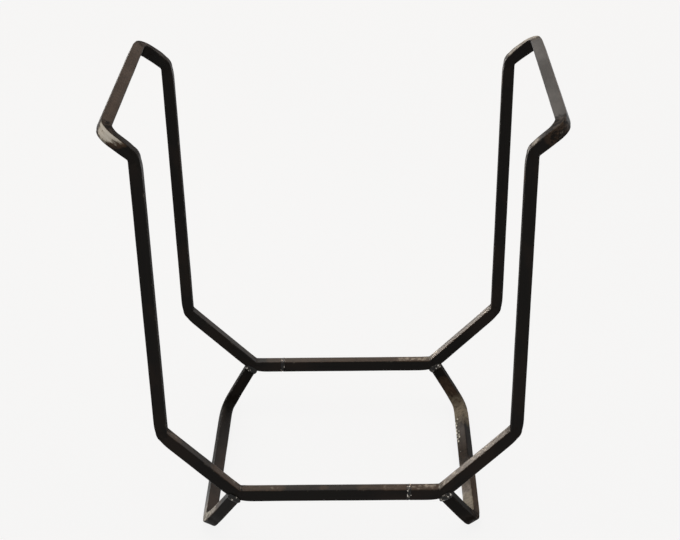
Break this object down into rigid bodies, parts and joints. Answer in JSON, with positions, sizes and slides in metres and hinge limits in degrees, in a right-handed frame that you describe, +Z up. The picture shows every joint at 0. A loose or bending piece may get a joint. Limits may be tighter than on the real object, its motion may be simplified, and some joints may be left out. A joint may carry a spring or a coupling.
{
  "type": "firewood rack",
  "caption": "Open cradle for firewood, bent from square steel bar, with outward handles at the top of each side and splayed feet welded under its bottom corners.",
  "frame": {"origin": "on the floor, midway between the feet and midway between front and back", "axes": "+Z up, +X to the right when facing the rack, +Y towards its back"},
  "size_m": [0.456, 0.31, 0.4625],
  "materials": {
    "black_bar": "satin black over hot-rolled steel",
    "weld_metal": "as welded, blackened"
  },
  "bodies": {
    "root": {"left_hoop": "black_bar", "right_hoop": "black_bar", "left_foot": "black_bar", "right_foot": "black_bar", "front_seam_weld": "weld_metal", "rear_seam_weld": "weld_metal", "front_left_foot_weld_outer": "weld_metal", "front_left_foot_weld_inner": "weld_metal", "front_right_foot_weld_outer": "weld_metal", "front_right_foot_weld_inner": "weld_metal", "rear_left_foot_weld_outer": "weld_metal", "rear_left_foot_weld_inner": "weld_metal", "rear_right_foot_weld_outer": "weld_metal", "rear_right_foot_weld_inner": "weld_metal"}
  },
  "joints": []
}
